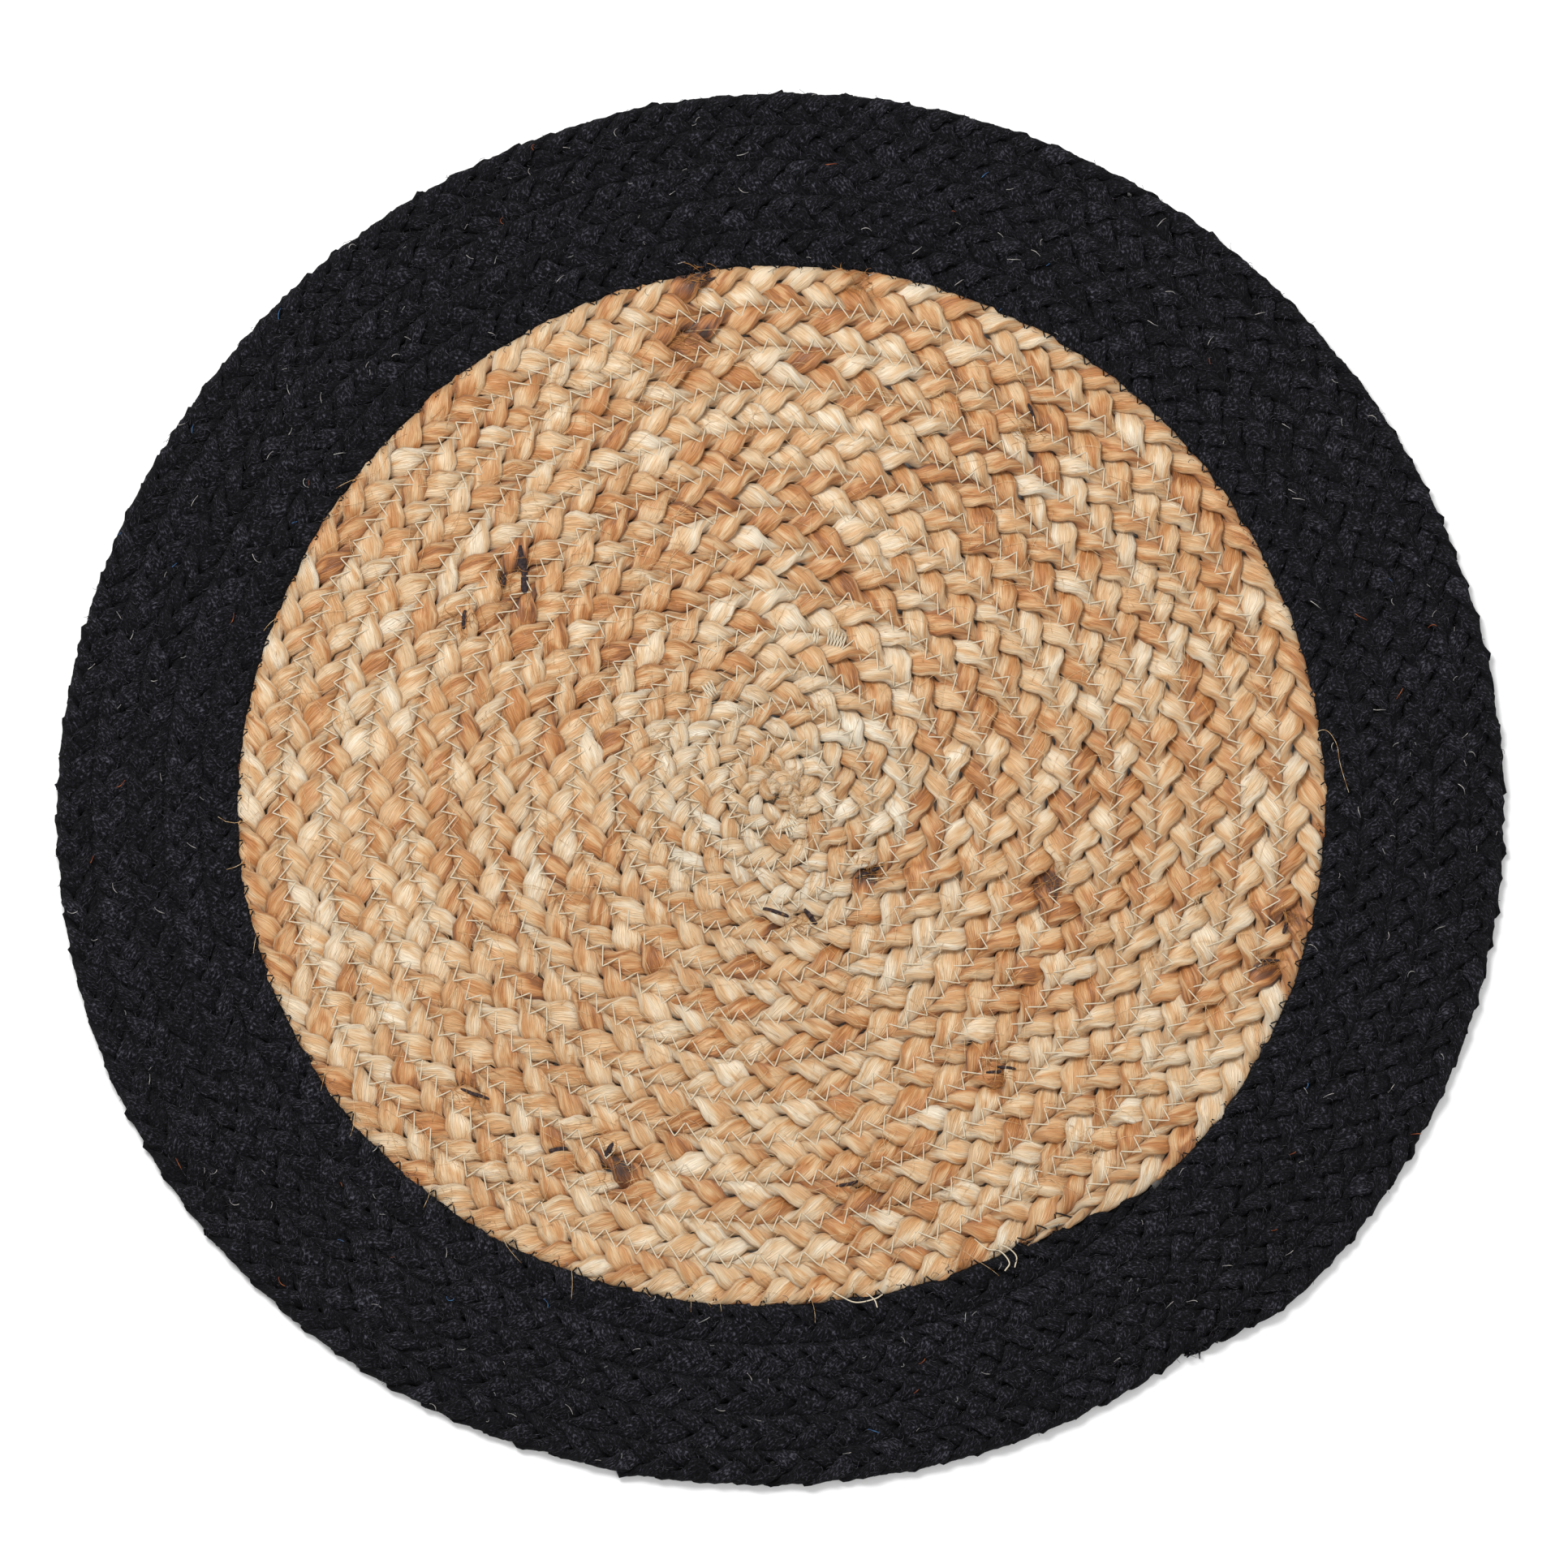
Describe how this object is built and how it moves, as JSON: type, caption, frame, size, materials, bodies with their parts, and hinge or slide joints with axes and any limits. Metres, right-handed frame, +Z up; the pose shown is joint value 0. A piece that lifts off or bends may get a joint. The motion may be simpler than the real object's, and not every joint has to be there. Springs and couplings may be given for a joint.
{
  "type": "round braided mat",
  "caption": "Round flat mat coiled from a natural jute braid with a black cotton braid border, bound turn to turn by zigzag seams, to lie under a plate, a pot or feet",
  "frame": {"origin": "middle of the underside, on the surface that the mat lies on", "axes": "+Z up through the mat's thickness, +X to the right and +Y away from the viewer, with both braids ending towards +X and -Y"},
  "size_m": [0.3796, 0.3812, 0.0055],
  "materials": {
    "jute": "unspun golden jute in a flat plait, silky fibres with a soft sheen",
    "cotton": "black fuzzy cotton yarn in a flat plait, matt",
    "cream_thread": "unbleached sewing thread, slightly shiny",
    "black_thread": "black sewing thread, slightly shiny"
  },
  "bodies": {
    "root": {"jute_braid": "jute", "cotton_braid": "cotton", "centre_seam_needle_thread": "cream_thread", "centre_seam_bobbin_thread": "cream_thread", "inner_seam_needle_thread": "cream_thread", "inner_seam_bobbin_thread": "cream_thread", "jute_seam_needle_thread": "cream_thread", "jute_seam_bobbin_thread": "cream_thread", "cotton_seam_needle_thread": "black_thread", "cotton_seam_bobbin_thread": "black_thread"}
  },
  "joints": []
}
